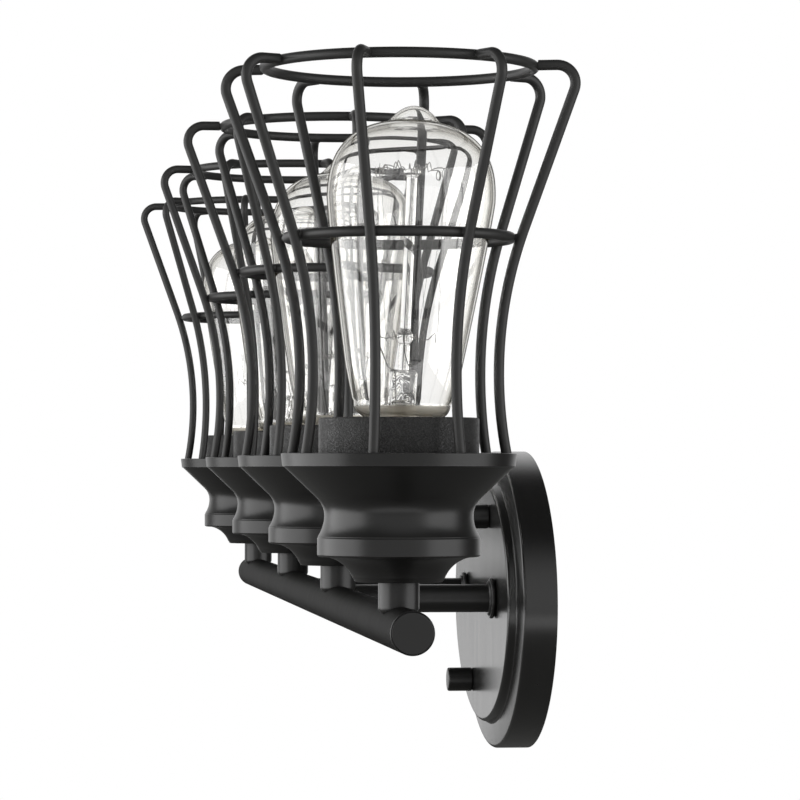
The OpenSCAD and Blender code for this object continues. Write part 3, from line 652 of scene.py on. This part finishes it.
grit_rise = pebble.eased(grit, *PEBBLE_EDGE)
# Painted shade and highlight: the grit's pits are painted darker and its tops lighter, on the same grain
# that raises the relief
pebble.colour(pebble.blend(grit_rise, PEBBLE_PIT_SHADE, PEBBLE_TOP_HIGHLIGHT))
pebble.roughness(PIT_ROUGH + TOP_ROUGHER * grit_rise)
pebble.relief(grit_rise * 0.6 + clumps * 0.5, PEBBLE_DEPTH)
for n, x in enumerate(LAMP_X, 1):
    one = copied(cover, "pebbled_cover_%d" % n, (x, BAR_Y, RIM_Z))
    pebble.on(one)
    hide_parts("socket_cover_%d" % n)
    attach(one, "fixture")
bpy.data.objects.remove(cover)


# Cages: eight bent steel wires welded outside two rings, their feet welded inside the cup's lip.
# Each joint has a small uneven bead of weld, and each wire stands a little off its even place.
# The same satin black, painted a shade paler on the thin round wire: painted light, for the light that
# thin wires catch.
WIRE_R = 2
WIRES = 8
CAGE_TURN = (-16.9, 2, 10.9, -11.7)
WIRE_SLIPS = (-2.8, -0.8, 0.9, 0.5, 2.0, 2.4, 1.5, -1.8)
WAIST_R, WAIST_Z = 38.1, 30
CURVE_R = 160
FLARE = 20
TOP_RING_R, TOP_RING_Z = 51, 146
MID_RING_Z = 81.4
BEND_R = 7
FOOT_Z = -4.4
TOUCH = 0.03
CURVE_STEPS, BEND_STEPS = 26, 14
RING_SIDES, RING_WIRE_SIDES = 144, 20
BEAD_SKIN, BEAD_SPREAD, BEAD_STEP = 0.16, 0.22, 2.4
# Painted light: a paler copy of the satin black, standing in for the light the thin round wires catch
wire_black_painted_light = paint("wire_black_painted_light", dark=(0.019, 0.0188, 0.0182, 1), light=(0.031, 0.0306, 0.0296, 1),
                   rough=0.4, gloss=0.45)

# Up from the waist a wire follows one long curve, runs straight, and bends in to the top ring
flare = math.radians(FLARE)
curve_x = WAIST_R + CURVE_R
straight_x = WAIST_R + CURVE_R * (1 - math.cos(flare))
straight_z = WAIST_Z + CURVE_R * math.sin(flare)
bend_z = TOP_RING_Z - BEND_R
low_z = bend_z - BEND_R * math.sin(flare)
low_x = straight_x + (low_z - straight_z) * math.tan(flare)
bend_x = low_x - BEND_R * math.cos(flare)
foot_angle = math.degrees(math.asin(WAIST_Z / CURVE_R))
foot_x = curve_x - CURVE_R * math.cos(math.radians(foot_angle))
lean = math.asin((MID_RING_Z - WAIST_Z) / CURVE_R)
mid_x = curve_x - CURVE_R * math.cos(lean)
MID_RING_R = mid_x - (2 * WIRE_R + TOUCH) / math.cos(lean)

wire_line = [(foot_x, FOOT_Z), (foot_x, FOOT_Z / 2)]
wire_line += arc((curve_x, WAIST_Z), CURVE_R, 180 + foot_angle, 180 - FLARE, CURVE_STEPS)
wire_line += [(straight_x + (low_x - straight_x) * k / 3, straight_z + (low_z - straight_z) * k / 3)
              for k in (1, 2)]
wire_line += arc((bend_x, bend_z), BEND_R, -FLARE, 90, BEND_STEPS)
wire_line += [(TOP_RING_R + WIRE_R + 1.5, TOP_RING_Z), (TOP_RING_R + WIRE_R + TOUCH, TOP_RING_Z)]


def strand(name, points, radius, sides=3, angle=60):
    """A round wire through points in metres."""
    line = drawn(name, points)
    bpy.ops.object.mode_set(mode="OBJECT")
    only(line)
    bpy.ops.object.convert(target="CURVE")
    line.data.bevel_depth = radius * MM
    line.data.bevel_resolution = sides
    line.data.use_fill_caps = True
    bpy.ops.object.convert(target="MESH")
    smooth(line, angle)
    return line


def bead(name, size, place, seed):
    """A bead of weld: a squashed ball with an uneven skin."""
    bpy.ops.object.select_all(action="DESELECT")
    bpy.ops.mesh.primitive_ico_sphere_add(subdivisions=2, radius=MM)
    ball = bpy.context.object
    ball.name = name
    bpy.ops.object.mode_set(mode="EDIT")
    bpy.ops.transform.vertex_random(offset=BEAD_SKIN * MM, uniform=0.7, normal=0.3, seed=seed)
    bpy.ops.transform.resize(value=size, center_override=(0, 0, 0))
    bpy.ops.transform.translate(value=Vector(place) * MM)
    bpy.ops.object.mode_set(mode="OBJECT")
    applied(ball, "SUBSURF", levels=1, render_levels=1)
    smooth(ball, 60)
    return ball


wire = strand("wire", set_along(wire_line, "Z"), WIRE_R, 7, 40)
for n, x in enumerate(LAMP_X, 1):
    parts = []
    for k in range(WIRES):
        angle = math.radians(CAGE_TURN[n - 1] + 360 / WIRES * k + WIRE_SLIPS[(k + n - 1) % WIRES])
        seed = 10 * n + k
        uneven = 1 + BEAD_SPREAD * math.sin(BEAD_STEP * seed)
        parts.append(copied(wire, "wire_copy", (0, 0, 0), angle))
        # On the top ring, on the mid ring, and at the foot inside the lip
        for size, place in (
            ((1.3 * uneven, 2.0 * uneven, 1.75), (TOP_RING_R + WIRE_R + 0.1, 0, TOP_RING_Z - 0.2)),
            ((1.4, 1.9 * uneven, 1.5 * uneven), ((mid_x + MID_RING_R) / 2, 0.2, MID_RING_Z)),
            ((0.9, 1.9, 1.6 * uneven), (foot_x + WIRE_R + 0.2, 0, -1.9)),
        ):
            one = bead("bead", size, place, seed)
            parts.append(moved(one, (0, 0, 0), angle))
    cage = joined("welded_wires_%d" % n, parts)
    moved(cage, (x, BAR_Y, RIM_Z))
    wire_black_painted_light.on(cage)
    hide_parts("cage_wires_%d" % n)
    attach(cage, "fixture")
bpy.data.objects.remove(wire)

# Each ring is bent from the same wire, its two ends butted and welded at the seam
for title, node, radius, height, seam in (
    ("top_ring", "cage_top_ring", TOP_RING_R, TOP_RING_Z, 22),
    ("mid_ring", "cage_mid_ring", MID_RING_R, MID_RING_Z, 200),
):
    bpy.ops.object.select_all(action="DESELECT")
    bpy.ops.mesh.primitive_torus_add(
        major_radius=radius * MM, minor_radius=WIRE_R * MM,
        major_segments=RING_SIDES, minor_segments=RING_WIRE_SIDES)
    hoop = bpy.context.object
    butt = bead("butt_weld", (1.9, 1.5, 1.9), (radius, 0, 0), 5)
    moved(butt, (0, 0, 0), math.radians(seam))
    ring = joined("ring", [hoop, butt])
    smooth(ring, 50)
    for n, x in enumerate(LAMP_X, 1):
        turn = math.radians(CAGE_TURN[n - 1])
        one = copied(ring, "%s_%d" % (title, n), (x, BAR_Y, RIM_Z + height), turn)
        wire_black_painted_light.on(one)
        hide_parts("%s_%d" % (node, n))
        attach(one, "fixture")
    bpy.data.objects.remove(ring)


# Bulb glass: one blown envelope of clear glass, a long taper under a flat dome with the
# sealed tip of the pumping tube, its neck closed into the screw cap. Its walls look darker
# where they are seen edge on, which a mix by the angle of view gives.
BULB_R = 32
BULB_Z = 162
DOME_H = 29.9
FULLNESS = 2.55
TIP_R, TIP_H = 11, 7.0
TIP_FOOT = 0.35
NECK_Z = 83.9
NECK_R = 11.1
NECK_END = 68.9
CAP_TOP = 74.9
GLASS_WALL = 0.8
GLASS_SIDES = 128
TIP_STEPS, DOME_STEPS, TAPER_STEPS = 18, 24, 26
HAZE_SCALE, HAZE_SHARE = 30, 0.02
EDGE_TINT = [
    (0.0, (0.998, 0.996, 0.990, 1)), (0.4, (0.995, 0.990, 0.975, 1)), (0.55, (0.985, 0.975, 0.94, 1)),
    (0.68, (0.96, 0.937, 0.875, 1)), (0.8, (0.91, 0.87, 0.76, 1)), (1.0, (0.86, 0.81, 0.68, 1))]
EDGE_DARK = [(place, (dark, dark, dark, 1)) for place, dark in (
    (0.0, 0), (0.62, 0), (0.69, 0.22), (0.73, 0.62), (0.77, 0.24), (0.82, 0.3), (0.86, 0.8),
    (1.0, 0.95))]
FUSED_GLASS, FUSED_ROUGH = (0.80, 0.765, 0.69, 1), 0.35
FUSED_FROM, FUSED_BELOW = 84.1, 83.4
DULL_EDGE = (0.05, 0.045, 0.032, 1)


def dome(r):
    """Height of the dome at a radius, with the round sealed tip that swells out of its middle."""
    rise = max(0, 1 - (r / TIP_R) ** 2)
    tip = rise * rise / (2 * TIP_FOOT) if rise < TIP_FOOT else rise - TIP_FOOT / 2
    return BULB_Z + DOME_H * (1 - (r / BULB_R) ** FULLNESS) ** (1 / FULLNESS) + TIP_H * tip


def bow(p0, p1, p2, steps):
    """Points on a quadratic curve, without its first point."""
    return [tuple(
        (1 - t) ** 2 * a + 2 * t * (1 - t) * b + t * t * c for a, b, c in zip(p0, p1, p2)
    ) for t in (k / steps for k in range(1, steps + 1))]


bulb_line = [(0, dome(0))]
bulb_line += [(TIP_R * k / TIP_STEPS, dome(TIP_R * k / TIP_STEPS)) for k in range(1, TIP_STEPS + 1)]
tip_edge = math.acos((TIP_R / BULB_R) ** (FULLNESS / 2))
for k in range(1, DOME_STEPS):
    r = BULB_R * math.cos(tip_edge * (1 - k / DOME_STEPS)) ** (2 / FULLNESS)
    bulb_line.append((r, dome(r)))
bulb_line += [(BULB_R, BULB_Z)]
bulb_line += bow((BULB_R, BULB_Z), (30.6, BULB_Z - 13.5), (22.2, NECK_Z + 15), TAPER_STEPS)
bulb_line += [(19.0, NECK_Z + 2.1)]
bulb_line += arc((13.2, NECK_Z + 0.7), 5.2, 5, -72, 12)
bulb_line += [(11.7, CAP_TOP + 0.6), (NECK_R, CAP_TOP - 0.4), (NECK_R, NECK_END)]
glass = walled("glass", bulb_line, GLASS_WALL, GLASS_SIDES, 60)

clear = Finish("clear_glass", IOR=1.46, Transmission_Weight=1.0, Specular_IOR_Level=0.9,
               Coat_Weight=0.3, Coat_IOR=1.5, Coat_Roughness=0.0)
edge_on = clear.add("ShaderNodeLayerWeight", {}, {"Blend": 0.5}, "Facing")
haze = clear.grain(HAZE_SCALE)
height = clear.add("ShaderNodeSeparateXYZ", {}, {
    "Vector": clear.add("ShaderNodeTexCoord", {}, {}, "Object")}, "Z")
fused = clear.eased(height, FUSED_FROM * MM, FUSED_BELOW * MM)
walls = clear.add("ShaderNodeValToRGB", {"stops": EDGE_TINT}, {"Fac": edge_on + HAZE_SHARE * haze})
clear.colour(clear.blend(fused, walls, FUSED_GLASS))
clear.roughness(FUSED_ROUGH * fused)
darkened = clear.add("ShaderNodeValToRGB", {"stops": EDGE_DARK}, {"Fac": edge_on})
dull = clear.add("ShaderNodeBsdfPrincipled", {}, {
    "Base Color": DULL_EDGE, "Roughness": 0.5, "Specular IOR Level": 0.0}, "BSDF")
both = clear.add("ShaderNodeMixShader", {}, {
    0: darkened, 1: Wire(clear, clear.shader.outputs["BSDF"]), 2: dull})
clear.join(both, clear.nodes["Material Output"].inputs["Surface"])

# Each bulb stands turned as it was screwed in, and leans a little to the wall about this height
BULB_LEAN = (2.5, 1.0, 0.6, 0.0)
BULB_TURN = (-90, 35, 140, -20)
LEAN_Z = 60


def seated(piece, name, n):
    """A copy of a bulb's piece, turned and leaning as bulb n does."""
    copy = copied(piece, name, (0, 0, 0), math.radians(BULB_TURN[n - 1]))
    bpy.ops.object.mode_set(mode="EDIT")
    bpy.ops.mesh.select_all(action="SELECT")
    bpy.ops.transform.translate(value=(0, 0, -LEAN_Z * MM))
    bpy.ops.object.mode_set(mode="OBJECT")
    copy.rotation_euler = (-math.radians(BULB_LEAN[n - 1]), 0, 0)
    copy.location = Vector((LAMP_X[n - 1], BAR_Y, LEAN_Z)) * MM
    bpy.ops.object.transform_apply(location=True, rotation=True, scale=True)
    return copy


for n in range(1, 5):
    one = seated(glass, "blown_glass_%d" % n, n)
    clear.on(one)
    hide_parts("bulb_glass_%d" % n)
    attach(one, "bulb_%d" % n)
bpy.data.objects.remove(glass)


# Glass stem: a flare fused into the neck, the flat press that seals the leads, and a clear
# rod with a button part way up and a small flat head. All one piece of the same glass.
PRESS_SIZE, PRESS_Z = (10.4, 4.0, 13), 91
PRESS_UNEVEN = 0.42
BUTTON_Z, BUTTON_R = 110, 3.2
HEAD_Z = 173
flare_tube = turned("flare_tube", rounded([
    (10.3, NECK_END), (10.3, 70), (5.4, 76.5, 5), (5.1, 82), (4.4, 86, 2), (0, 86.5),
    (0, 83), (4.0, 81.5, 1.5), (4.2, 76), (9.3, NECK_END),
]), sides=48)
bpy.ops.object.select_all(action="DESELECT")
bpy.ops.mesh.primitive_cube_add(size=MM)
press = bpy.context.object
bpy.ops.object.mode_set(mode="EDIT")
bpy.ops.transform.resize(value=PRESS_SIZE, center_override=(0, 0, 0))
bpy.ops.mesh.subdivide(number_cuts=5)
bpy.ops.transform.vertex_random(offset=PRESS_UNEVEN * MM, uniform=1.0, normal=0.0, seed=3)
bpy.ops.transform.translate(value=(0, 0, PRESS_Z * MM))
bpy.ops.object.mode_set(mode="OBJECT")
applied(press, "SUBSURF", levels=2, render_levels=2)
smooth(press, 60)
rod_line = rounded([(0, 96.5), (2.1, 96.5, 0.3), (2.05, 106.4)])
rod_line += arc((0, BUTTON_Z), BUTTON_R, -50, 50, 12)
rod_line += rounded([
    (2.05, 113.6), (2.0, HEAD_Z - 2.4, 0.8), (3.4, HEAD_Z - 1.0, 0.6), (3.4, HEAD_Z + 0.4, 0.7),
    (0, HEAD_Z + 0.9)])
arbor = turned("arbor", rod_line, sides=32, closed=False, angle=50)
glass_stem = joined("glass_stem", [flare_tube, press, arbor])
for n in range(1, 5):
    one = seated(glass_stem, "stem_glass_%d" % n, n)
    clear.on(one)
    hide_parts("bulb_stem_%d" % n)
    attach(one, "bulb_%d" % n)
bpy.data.objects.remove(glass_stem)


# Filament mount: two lead wires from the press, six support wires with curled ends from the
# head and six from the button, and the thin carbon thread that runs up and down between them.
LEAD_R, THIN_LEAD_R = 0.28, 0.2
SUPPORT_R = 0.18
THREAD_R = 0.07
SPOKES, SPOKE_TURN = 6, 60
CURL_W, CURL_H = 0.96, 1.8
CURL_POINTS, CURL_TURN = 19, 30
LOW_LOOP_R, LOW_LOOP_Z = 12.4, BUTTON_Z + 2.2
TOP_LOOP_R, TOP_LOOP_Z = 15.3, HEAD_Z + 1.6
# Supports as (distance from the middle, sideways, height from the head or the button), and
# the leads as (across, sideways, height) in the bulb
top_wire = [
    (3.3, 0, 0), (4.6, 0.1, 0.9), (5.4, 0.1, 0.7), (6.3, 0.2, 2.4), (6.9, 0.3, 3.1), (7.3, 0.4, 2.2),
    (7.8, 0.3, 0.1), (8.6, 0.2, 0.5), (10.6, 0, 0.9)]
low_wire = [
    (3.0, 0, 0), (7.3, 0.1, -1.0), (9.0, 0.1, -0.7), (9.9, 0.1, 0.3), (11.3, 0.2, 1.8), (11.9, 0.2, 0.4),
    (11.6, 0.2, -1.8)]
long_lead = [
    (2.4, 0, 84), (2.9, 0, 95), (3.4, 0.3, 97.2), (4.6, 0.6, 97.6), (5.9, 0.5, 98.4), (6.7, 0.2, 100.2),
    (8.6, 0, 104.5), (10.4, 0, 108.3), (11.7, 0, 112.2)]
thin_lead = [
    (-2.4, 0, 84), (-2.8, 0, 96), (-2.2, 0.6, 98.6), (-0.8, 2.6, 101.2), (0.2, 3.6, 104), (1.2, 8.5, 109),
    (1.4, 11.6, 112)]
for k in range(CURL_POINTS):
    a = math.radians(90 - CURL_TURN * k)
    top_wire.append((12.2 + 0.09 * k + CURL_W * math.cos(a), 0.08 * k, -0.9 + CURL_H * math.sin(a)))


def metres(points, rise=0.0):
    """Points in millimetres as places, raised by rise."""
    return [Vector((across, sideways, height + rise)) * MM for across, sideways, height in points]


def loop_place(turn, radius, height):
    """Where the thread hangs in a support's end, at a turn in degrees round the stem."""
    return (radius * math.cos(math.radians(turn)), radius * math.sin(math.radians(turn)), height)


top_support = strand("top_support", metres(top_wire, HEAD_Z + 0.3), SUPPORT_R)
low_support = strand("low_support", metres(low_wire, BUTTON_Z + 0.2), SUPPORT_R)
supports = []
for k in range(SPOKES):
    supports.append(copied(low_support, "low", (0, 0, 0), math.radians(SPOKE_TURN * k)))
    supports.append(copied(top_support, "top", (0, 0, 0), math.radians(SPOKE_TURN * (k + 0.5))))
bpy.data.objects.remove(top_support)
bpy.data.objects.remove(low_support)
supports.append(strand("lead", metres(long_lead), LEAD_R))
supports.append(strand("lead", metres(thin_lead), THIN_LEAD_R))
for k in range(SPOKES):
    low = loop_place(SPOKE_TURN * k, LOW_LOOP_R, LOW_LOOP_Z)
    top = loop_place(SPOKE_TURN * (k + 0.5), TOP_LOOP_R, TOP_LOOP_Z)
    supports.append(strand("thread", metres([low, top]), THREAD_R, 1))
    if k < SPOKES - 1:
        next_low = loop_place(SPOKE_TURN * (k + 1), LOW_LOOP_R, LOW_LOOP_Z)
        supports.append(strand("thread", metres([top, next_low]), THREAD_R, 1))
mount = joined("mount", supports)


def mottled(name, scale, dark, light, rough, spread, detail=3.0, jagged=0.5, depth=0.0, **constants):
    """A finish whose colour and gloss drift with one fine grain, raised where depth is given."""
    finish = Finish(name, **constants)
    grain = finish.grain(scale, detail=detail, rough=jagged)
    finish.colour(finish.blend(grain, dark, light))
    finish.roughness(rough + spread * grain)
    if depth:
        finish.relief(grain, depth, 0.4)
    return finish


nickel = mottled("support_nickel", 700, dark=(0.14, 0.135, 0.13, 1), light=(0.32, 0.315, 0.30, 1),
                 rough=0.25, spread=0.2, Metallic=1.0)
for n in range(1, 5):
    one = seated(mount, "filament_mount_%d" % n, n)
    nickel.on(one)
    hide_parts("bulb_filament_%d" % n)
    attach(one, "bulb_%d" % n)
bpy.data.objects.remove(mount)


# Hidden fittings: bracket, studs, nuts, nipples, leads, sockets, contacts and screw caps keep
# the shapes of the solids, welded into smooth meshes with their sharp edges broken. Zinc plated
# steel, brass, moulded plastic, and a green ground screw.
zinc = mottled("zinc_steel", 180, dark=(0.50, 0.51, 0.52, 1), light=(0.66, 0.66, 0.66, 1),
               rough=0.32, spread=0.22, detail=4.0, jagged=0.6, depth=0.02, Metallic=1.0)
green = mottled("ground_green", 400, dark=(0.03, 0.20, 0.06, 1), light=(0.05, 0.27, 0.09, 1),
                rough=0.3, spread=0.15)
insulation = mottled("wire_insulation", 500, dark=(0.02, 0.02, 0.02, 1), light=(0.04, 0.04, 0.038, 1),
                     rough=0.4, spread=0.15)
brass = mottled("brass", 260, dark=(0.62, 0.43, 0.17, 1), light=(0.78, 0.58, 0.27, 1),
                rough=0.22, spread=0.2, Metallic=1.0)
plastic = mottled("socket_plastic", 600, dark=(0.014, 0.013, 0.012, 1), light=(0.024, 0.022, 0.021, 1),
                  rough=0.38, spread=0.18, depth=0.03)
tinned = mottled("cap_metal", 320, dark=(0.55, 0.54, 0.52, 1), light=(0.75, 0.74, 0.72, 1),
                 rough=0.2, spread=0.25, Metallic=1.0)
LOOSE = 2e-6
FLAT = math.radians(1)
SHARP = math.radians(50)


def dressed(node, body, finish, broken=0.0):
    """A smooth copy of a node's solid in its finish, with its sharp edges broken."""
    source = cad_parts[node]
    piece = source.copy()
    piece.data = source.data.copy()
    bpy.context.scene.collection.objects.link(piece)
    piece.parent = None
    piece.name = node + "_finished"
    only(piece)
    bpy.ops.object.mode_set(mode="EDIT")
    bpy.ops.mesh.select_all(action="SELECT")
    bpy.ops.mesh.remove_doubles(threshold=LOOSE)
    bpy.ops.mesh.dissolve_limited(angle_limit=FLAT)
    bpy.ops.object.mode_set(mode="OBJECT")
    if broken:
        applied(piece, "BEVEL", width=broken * MM, segments=2, limit_method="ANGLE",
                angle_limit=SHARP, use_clamp_overlap=True)
    smooth(piece, 40)
    applied(piece, "WEIGHTED_NORMAL", keep_sharp=True, weight=100)
    finish.on(piece)
    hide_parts(node)
    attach(piece, body)


dressed("mounting_bracket", "wall_bracket", zinc, 0.15)
dressed("bracket_studs", "wall_bracket", zinc, 0.25)
dressed("stud_nuts", "wall_bracket", zinc, 0.25)
dressed("ground_screw", "wall_bracket", green, 0.1)
dressed("arm_nuts", "fixture", zinc, 0.3)
dressed("lead_wires", "fixture", insulation)
dressed("lamp_nipples", "fixture", zinc, 0.2)
dressed("nipple_nuts", "fixture", zinc, 0.3)
dressed("screw_shells", "fixture", brass)
dressed("socket_contacts", "fixture", brass, 0.1)
for n in range(1, 5):
    dressed("socket_%d" % n, "fixture", plastic, 0.25)
    dressed("bulb_cap_%d" % n, "bulb_%d" % n, tinned)

low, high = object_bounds()
